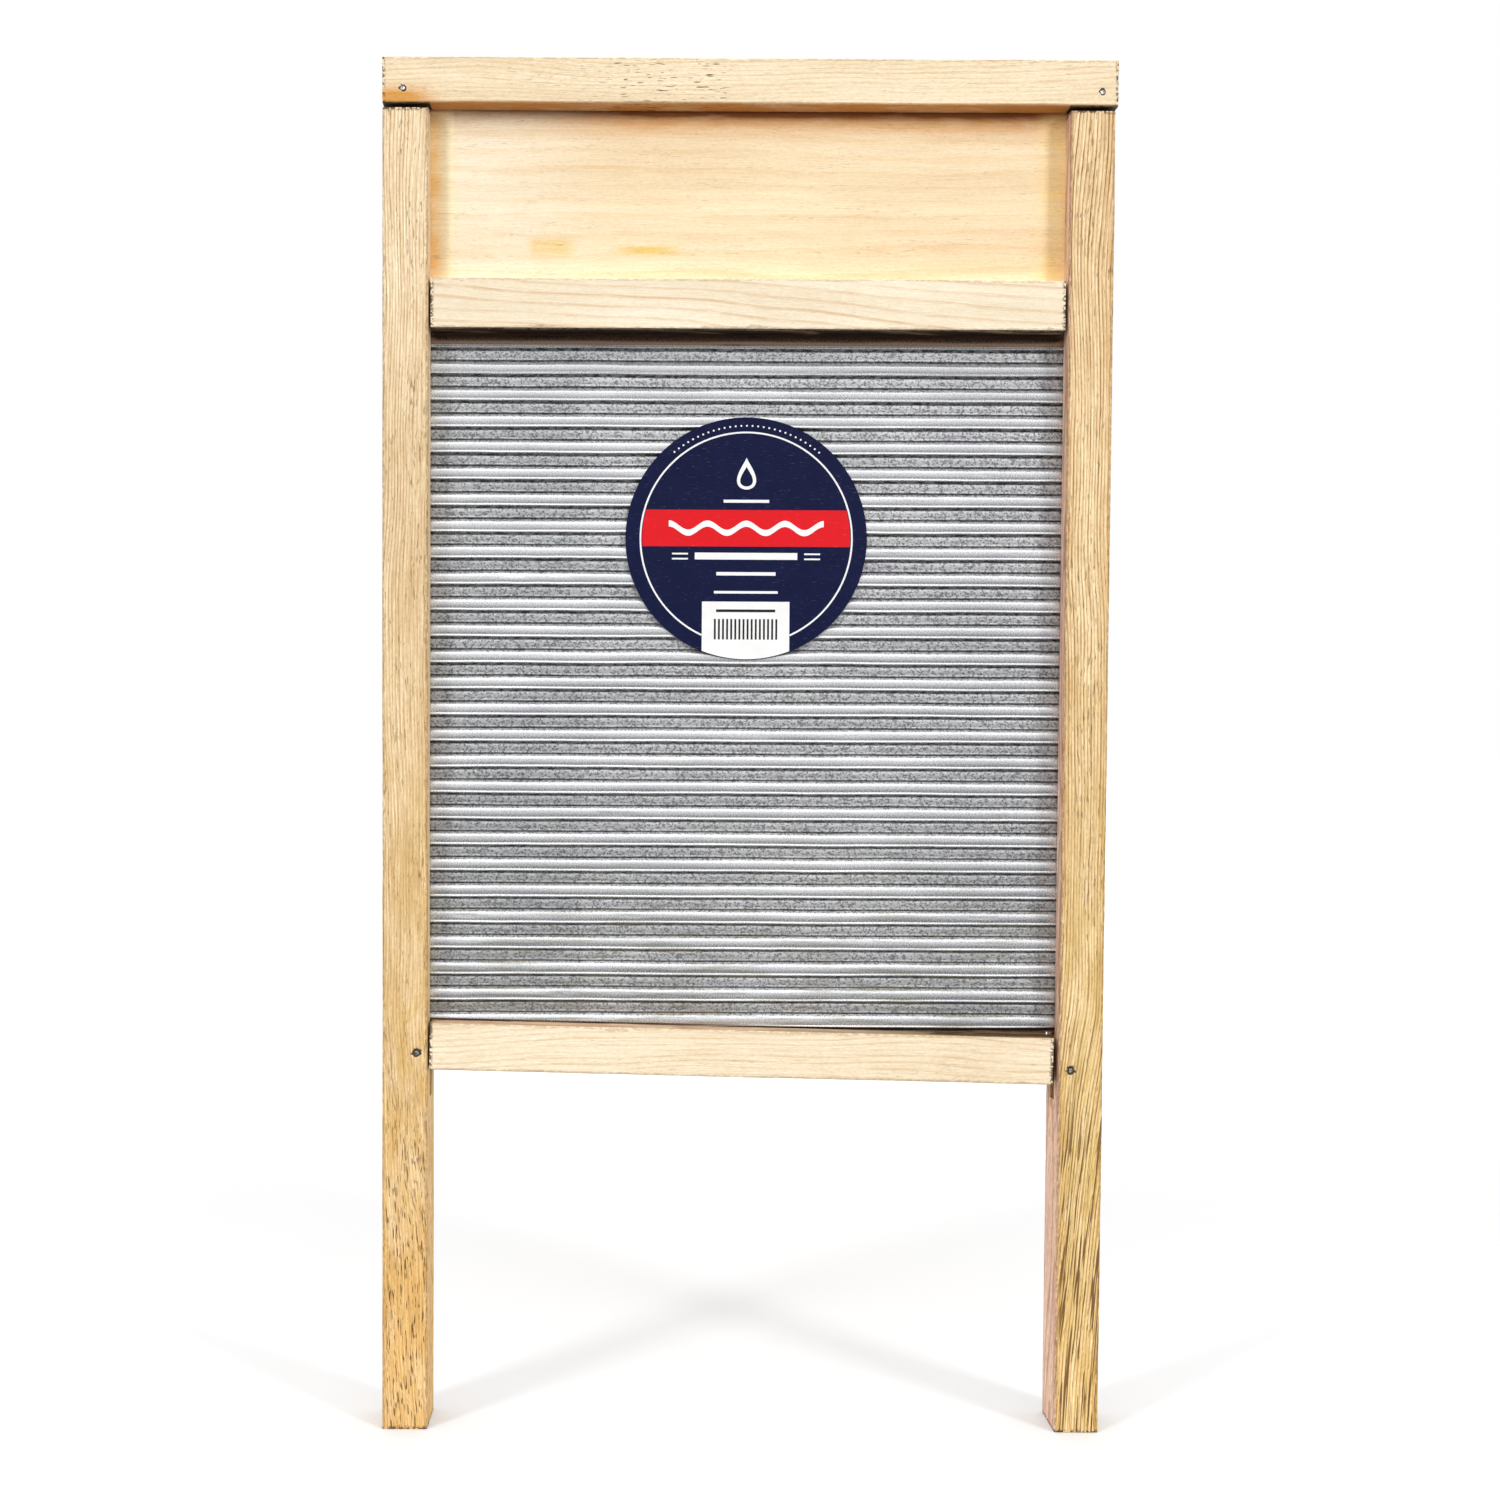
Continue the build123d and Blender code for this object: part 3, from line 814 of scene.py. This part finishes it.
def galvanised(low):
    """Hot-dip zinc: smooth rubbed crests, granular valleys, dirty creases, and painted shade in the
    creases and on the ribs' lower walls.
    """
    g = Graph("galvanised_zinc")
    crest = g.attribute("crest")
    grains = g.noise(g.position((0.95, 0.95, 0.75)), 2.0, 0.7)
    coarse = g.noise(g.position((2.8, 2.8, 1.0), (4, 2, 7)), 3.0, 0.6)
    streak = g.noise(g.position((30, 2, 0.6), (11, 3, 5)), 3.0, 0.55)
    patch = g.noise(g.position((60, 60, 24), (2, 9, 1)), 2.0, 0.5, 0.6)
    tint = g.noise(g.position((40, 40, 9), (8, 1, 3)), 2.0, 0.5)
    colour = g.mix(g.remap(patch, 0.3, 0.7), (0.82, 0.83, 0.85), (0.95, 0.955, 0.97))
    colour = g.mix(g.remap(tint, 0.55, 0.75, 0.0, 0.35), colour, (0.66, 0.74, 0.69))
    colour = g.mix(g.remap(tint, 0.45, 0.25, 0.0, 0.35), colour, (0.70, 0.68, 0.80))
    pits = g.times(g.remap(grains, 0.40, 0.52, 1.0, 0.0),
                  g.remap(crest, 0.0, 1.0, 0.74, 0.16))
    colour = g.mix(pits, colour, (0.15, 0.15, 0.155))
    colour = g.mix(g.remap(coarse, 0.5, 0.75, 0.0, 0.25), colour, (0.36, 0.37, 0.37))
    # Near black along the creases and the ribs' lower walls: painted shade there, with dirty creases as
    # well.
    ragged = g.times(g.attribute("dirt_and_shade"), g.remap(coarse, 0.3, 0.6, 1.1, 0.8), clamp=True)
    colour = g.mix(ragged, colour, (0.035, 0.034, 0.032))
    place = coordinates(g)
    edge = g.times_plus(g.math("SUBTRACT", coarse, 0.5), 14.0, place["X"])
    clear = g.math("MAXIMUM", g.remap(crest, 0.1, 0.7), g.remap(edge, -76.0, -68.0))
    colour = g.mix(clear, g.mix(1.0, colour, (0.86, 0.87, 0.87), "MULTIPLY"), colour)
    dimmer = fade(g, place, {"X": (40.0, 110.0)})
    colour = g.mix(dimmer, colour, g.mix(1.0, colour, (0.88, 0.88, 0.885), "MULTIPLY"))
    shaded = fade(g, place, {"Z": (476.7, 477.4)})
    colour = g.mix(shaded, colour, (0.30, 0.20, 0.14))
    # Painted shade: the sheet's lower edge painted dark brown along the gap above the bottom rail,
    # widest at the right.
    wedge = g.times_plus(place["X"], -0.021, place["Z"])
    gap = g.math("MAXIMUM", g.remap(wedge, 175.2, 175.9, 1.0, 0.0),
                 fade(g, place, {"S": (178.9, 178.2)}))
    colour = g.mix(g.times(gap, 0.96), colour, (0.05, 0.022, 0.009))
    lower = fade(g, place, {"Z": (300.0, low[2])})
    grime = g.remap(g.noise(g.position((25, 5, 1.4), (6, 6, 6)), 3.0), 0.45, 0.7)
    grime = g.times(grime, g.times(lower, 0.55))
    colour = g.mix(grime, colour, (0.30, 0.27, 0.17))
    rough = g.math("ADD", g.remap(crest, 0.0, 1.0, 0.40, 0.26),
                   g.remap(grains, 0.3, 0.7, -0.04, 0.08))
    depth = g.remap(crest, 0.0, 1.0, 1.0, 0.07)
    relief = g.times(g.times_plus(coarse, 0.6, grains), depth)
    relief = g.times_plus(streak, 0.15, relief)
    return g.finish(base_color=colour, metallic=0.72, roughness=rough,
                    normal=g.bump(relief, 0.18, 0.8))


make_rub_sheet()


# ------------------------ paper label
LABEL_WAVE = 0.10  # how far the paper sinks between two crests
STRIP = 2.0  # height of the strips that let the print follow the paper
PAPER, INK = 0.10, 0.010  # how thick they are
INK_LIFT = 0.012  # how far each layer of ink stands off the one below


def label_front(z, lift):
    """The front of the label's paper at a height, or of ink lying lift above it."""
    low, _ = box_mm("paper_label")
    phase = (FIRST_RIB - z) / RIB_PITCH
    sink = LABEL_WAVE * (0.5 - 0.5 * np.cos(2 * pi * phase))
    return low[1] + 0.03 + sink * 0.35 - lift


def printed(name, outlines, lift, thickness, material):
    """Flat outlines in the label's plane, cut into strips so that they follow the paper."""
    shape = bmesh.new()
    for outline in outlines:
        shape.faces.new([shape.verts.new((x, 0.0, z)) for x, z in outline])
    heights = [vert.co.z for vert in shape.verts]
    for cut in np.arange(min(heights) + STRIP, max(heights), STRIP):
        geometry = shape.verts[:] + shape.edges[:] + shape.faces[:]
        bmesh.ops.bisect_plane(shape, geom=geometry, plane_co=(0, 0, cut), plane_no=(0, 0, 1))
    shape.verts.index_update()
    points = []
    for vert in shape.verts:
        x, _, z = vert.co
        y = float(label_front(z, lift))
        points += [(x, y, z), (x, y + thickness, z)]
    faces = []
    for face in shape.faces:
        loop = [vert.index for vert in face.verts]
        faces.append(tuple(2 * i for i in loop))
        faces.append(tuple(2 * i + 1 for i in loop[::-1]))
    for edge in shape.edges:
        if len(edge.link_faces) == 1:
            a, b = (vert.index for vert in edge.verts)
            faces.append((2 * a, 2 * b, 2 * b + 1, 2 * a + 1))
    shape.free()
    piece = object_from(name, points, faces, smooth_angle=50)
    return settle(piece, material, "label_paper")


def arc_points(centre, radius, start, end, count):
    angles = np.linspace(radians(start), radians(end), count)
    return [(centre[0] + radius * cos(a), centre[1] + radius * sin(a)) for a in angles]


def bar(centre_x, centre_z, width, height):
    left, right = centre_x - width / 2, centre_x + width / 2
    low, high = centre_z - height / 2, centre_z + height / 2
    return [(left, low), (right, low), (right, high), (left, high)]


def print_material(name, colour, tired, rough=0.42):
    """Ink on coated paper: faint mottling, scuffs and a soft sheen."""
    g = Graph(name)
    mottle = g.noise(g.position((7, 7, 7)), 4.0, 0.6)
    fibre = g.noise(g.position((0.5, 0.5, 0.3)), 2.0, 0.6)
    scuff = g.noise(g.position((3.5, 3, 0.35), (5, 1, 2)), 3.0, 0.65)
    shade = g.mix(g.remap(mottle, 0.35, 0.7, 0.0, 0.5), colour, tired)
    shade = g.mix(g.remap(scuff, 0.62, 0.76, 0.0, 0.18), shade, (0.55, 0.55, 0.56))
    height = g.math("ADD", g.times(fibre, 0.5), g.times(mottle, 0.8))
    return g.finish(base_color=shade, roughness=g.remap(fibre, 0.2, 0.8, rough, rough + 0.15),
                    specular_ior_level=0.12, normal=g.bump(height, 0.05, 0.4))


def make_label():
    """A dark disc with a ring, a plain band, a wave, a drop and blank rules: no lettering."""
    low, high = box_mm("paper_label")
    centre = ((low[0] + high[0]) / 2, (low[2] + high[2]) / 2)
    radius = (high[0] - low[0]) / 2 - EASE
    navy = print_material("label_navy_ink", (0.005, 0.0075, 0.040), (0.008, 0.011, 0.052))
    red = print_material("label_red_ink", (0.74, 0.012, 0.018), (0.66, 0.015, 0.022))
    white = print_material("label_white_stock", (0.90, 0.90, 0.89), (0.82, 0.82, 0.81), 0.5)
    dark = print_material("label_black_ink", (0.02, 0.02, 0.022), (0.03, 0.03, 0.033), 0.5)
    disc = arc_points(centre, radius, 0, 360, 181)[:-1]
    base = printed("label_disc", [disc], 0.0, PAPER, navy)
    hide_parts("paper_label")

    def place(x, z):
        return centre[0] + x, centre[1] + z

    def add(name, material, *outlines, lift=INK_LIFT):
        printed(f"label_{name}", outlines, lift, INK, material)

    patch_half, patch_top = 19.2, -27.5
    ring, ring_width = 46.4, 0.75
    gap = degrees(asin((patch_half + 0.15) / ring))
    outer = arc_points(centre, ring + ring_width / 2, -90 + gap, 270 - gap, 150)
    inner = arc_points(centre, ring - ring_width / 2, 270 - gap, -90 + gap, 150)
    halves = len(outer) // 2
    add("ring_right", white, outer[: halves + 1] + inner[-halves - 1:])
    add("ring_left", white, outer[halves:] + inner[: len(inner) - halves])

    band_low, band_high = -3.4, 12.6
    reach = ring - ring_width
    right_low = degrees(atan(band_low / sqrt(reach**2 - band_low**2)))
    right_high = degrees(atan(band_high / sqrt(reach**2 - band_high**2)))
    right = arc_points(centre, reach, right_low, right_high, 12)
    left = arc_points(centre, reach, 180 - right_high, 180 - right_low, 12)
    add("band", red, right + left)

    wave_reach, wave_swing, half_line = 34.0, 2.0, 1.35
    wave_x = np.linspace(-wave_reach, wave_reach, 137)
    wave_z = (band_low + band_high) / 2 + wave_swing * np.cos(wave_x / wave_reach * pi * 4)
    upper = [place(x, z + half_line) for x, z in zip(wave_x, wave_z)]
    lower = [place(x, z - half_line) for x, z in zip(wave_x[::-1], wave_z[::-1])]
    add("wave", white, upper + lower, lift=2 * INK_LIFT)

    drop_side = [(6.0 * sin(t) * sin(t / 2) ** 1.5, 7.0 * cos(t)) for t in np.linspace(0, pi, 25)]
    drop = drop_side + [(-x, z) for x, z in drop_side[-2:0:-1]]
    add("drop", white, [place(x, z + 28.5) for x, z in drop])
    add("drop_core", navy, [place(0.66 * x, 0.62 * z + 27.2) for x, z in drop], lift=2 * INK_LIFT)

    rules = [  # x, z, width and height
        (0.0, 16.4, 20.0, 1.3), (0.0, -7.6, 45.0, 3.0), (0.0, -15.3, 26.0, 1.5),
        (0.0, -23.4, 28.0, 1.1),
        *((x, z, 7.0, 0.7) for x in (-29.0, 29.0) for z in (-6.6, -8.8)),
    ]
    add("rules", white, *(bar(*place(x, z), width, height) for x, z, width, height in rules))
    dots_radius, dot_radius = 49.3, 0.42
    spots = arc_points(centre, dots_radius, 130.0, 50.0, 29)
    add("dots", white, *(arc_points(spot, dot_radius, 0, 360, 11)[:-1] for spot in spots))

    floor_z = -sqrt((radius - 0.4) ** 2 - patch_half**2)
    half_angle = degrees(atan(-patch_half / floor_z))
    bottom = arc_points(centre, radius - 0.25, -90 - half_angle, -90 + half_angle, 24)
    add("patch", white, bottom + [place(patch_half, patch_top), place(-patch_half, patch_top)])
    bar_count, bar_pitch = 16, 1.8
    first_bar = -bar_pitch * (bar_count - 1) / 2
    bars = [bar(*place(first_bar + index * bar_pitch, -39.6), 0.85, 9.0)
            for index in range(bar_count)]
    add("patch_print", dark, bar(*place(0.0, -31.5), 26.0, 1.2), *bars, lift=2 * INK_LIFT)


make_label()


# ------------------------ nails
def nail_steel(name, bright, tarnished):
    g = Graph(name)
    filing = g.noise(g.position((0.5, 0.5, 0.12)), 3.0, 0.6)
    tarnish = g.noise(g.position((0.7, 0.7, 0.7), (3, 1, 2)), 3.0, 0.6)
    colour = g.mix(g.remap(tarnish, 0.40, 0.60), bright, tarnished)
    return g.finish(base_color=colour, metallic=1.0, roughness=g.remap(tarnish, 0.3, 0.7, 0.3, 0.6),
                    normal=g.bump(filing, 0.05, 0.6))


def make_nails():
    """Small flat-headed nails, each turned as one profile with a dished and nicked head."""
    clean = nail_steel("clean_nail_steel", (0.78, 0.78, 0.80), (0.34, 0.31, 0.28))
    dull = nail_steel("dull_nail_steel", (0.50, 0.50, 0.52), (0.08, 0.07, 0.06))
    front = cad_low[1] / MM
    shank, tip = 0.75, 19.0
    profile = [(0.0, 0.20), (0.40, 0.16), (0.62, 0.06), (0.78, 0.04), (0.90, 0.12),
               (0.95, 0.35), (0.90, 0.60), (shank, 0.66), (shank, 6.0), (shank, 12.0),
               (shank, 17.0), (0.4, 18.1), (0.08, tip - EASE), (0.0, tip - EASE)]
    turns = 24
    for node, prefix, steel, punched in (("top_rail_nails", "top_nail", clean, 0.0),
                                         ("bottom_rail_nails", "bottom_nail", dull, 0.6)):
        for side, (x, z) in zip(("left", "right"), nail_places(node)):
            points, faces = [], []
            for radius, depth in profile:
                for turn in range(turns):
                    angle = 2 * pi * turn / turns
                    nick = 1 - 0.05 * wander(turn * 1.0, 2.0, int(abs(x)) + turn // 5)
                    reach = radius * (nick if depth < 0.7 else 1.0)
                    y = front + min(depth + punched, tip - EASE)
                    points.append((x + reach * cos(angle), y, z + reach * sin(angle)))
            for ring in range(len(profile) - 1):
                faces += ring_faces(ring * turns, (ring + 1) * turns, turns)
            piece = object_from(f"{prefix}_{side}", points, faces, smooth_angle=30)
            settle(piece, steel, "nail_steel")
            if side == "left":
                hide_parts(node)


make_nails()


# ------------------------ studio
def make_floor():
    g = Graph("studio_floor_paper")
    grain = g.noise(g.position((3, 3, 3)), 3.0)
    place = coordinates(g)
    # Greyer close to the board and near white further back: the paler far floor is painted light that
    # washes out the board's far shadow.
    near = g.mix(grain, (0.710, 0.713, 0.717), (0.722, 0.725, 0.729))
    colour = g.mix(fade(g, place, {"Y": (330.0, 1100.0)}), near, (0.96, 0.96, 0.96))
    paper = g.finish(base_color=colour, roughness=0.85, specular_ior_level=0.1,
                     normal=g.bump(grain, 0.05, 0.2))
    side, front, back = 12.0, -0.25, 24.0
    mesh = bpy.data.meshes.new("studio_floor")
    corners = [(-side, front, 0), (side, front, 0), (side, back, 0), (-side, back, 0)]
    mesh.from_pydata(corners, [], [(0, 1, 2, 3)])
    mesh.materials.append(paper)
    in_scene("studio_floor", mesh)


def make_light(name, azimuth, elevation, distance, width, height, power):
    """A softbox aimed at the board's middle. Azimuth 0 is in front, 90 to the right."""
    middle = Vector((0, 0, cad_high.z / 2))
    a, e = radians(azimuth), radians(elevation)
    away = Vector((sin(a) * cos(e), -cos(a) * cos(e), sin(e)))
    data = bpy.data.lights.new(name, "AREA")
    data.shape = "RECTANGLE"
    data.size, data.size_y = width, height
    data.energy = power
    light = in_scene(name, data)
    light.location = middle + away * distance
    light.rotation_mode = "QUATERNION"
    light.rotation_quaternion = away.to_track_quat("Z", "Y")


def make_world():
    """White for the camera; for light and reflections, bright above and dimmer below."""
    world = bpy.data.worlds.new("studio")
    bpy.context.scene.world = world
    world.use_nodes = True
    tree = world.node_tree
    tree.nodes.clear()
    direction, parts, height, ramp, lit, seen, path, mix = (
        tree.nodes.new("ShaderNode" + kind)
        for kind in ("TexCoord", "SeparateXYZ", "MapRange", "ValToRGB", "Background",
                     "Background", "LightPath", "MixShader"))
    out = tree.nodes.new("ShaderNodeOutputWorld")
    height.inputs["From Min"].default_value = -1.0
    stops = ramp.color_ramp.elements
    for position, level in ((0.0, 0.03), (0.44, 0.06), (0.50, 0.24), (0.62, 0.30),
                            (0.78, 0.50), (1.0, 0.92)):
        stop = stops.new(position)
        stop.color = (level, level, level * 1.01, 1)
    stops.remove(stops[0])
    stops.remove(stops[-1])
    lit.inputs[1].default_value = 1.9
    seen.inputs[0].default_value = (1, 1, 1, 1)
    for source, target in (
        (direction.outputs["Generated"], parts.inputs[0]), (parts.outputs[2], height.inputs[0]),
        (height.outputs[0], ramp.inputs[0]), (ramp.outputs[0], lit.inputs[0]),
        (path.outputs["Is Camera Ray"], mix.inputs[0]), (lit.outputs[0], mix.inputs[1]),
        (seen.outputs[0], mix.inputs[2]), (mix.outputs[0], out.inputs[0]),
    ):
        tree.links.new(source, target)


def make_camera():
    """In front of the board, a little left of its middle and at half its height."""
    data = bpy.data.cameras.new("camera")
    data.sensor_width = 36.0
    data.lens = 43.4
    data.shift_x = 0.067
    data.shift_y = 0.031
    camera = in_scene("camera", data)
    camera.location = (-0.0421, -0.8004, 0.3072)
    camera.rotation_euler = Euler((radians(90 - 1.98), radians(-0.30), radians(-0.01)))
    bpy.context.scene.camera = camera


make_floor()
make_world()
for light_name, side_azimuth in (("side_left", -45), ("side_right", 45)):
    make_light(light_name, side_azimuth, elevation=22, distance=2.4, width=0.42, height=1.2,
               power=24)
make_camera()
bpy.context.scene.view_settings.view_transform = "Standard"
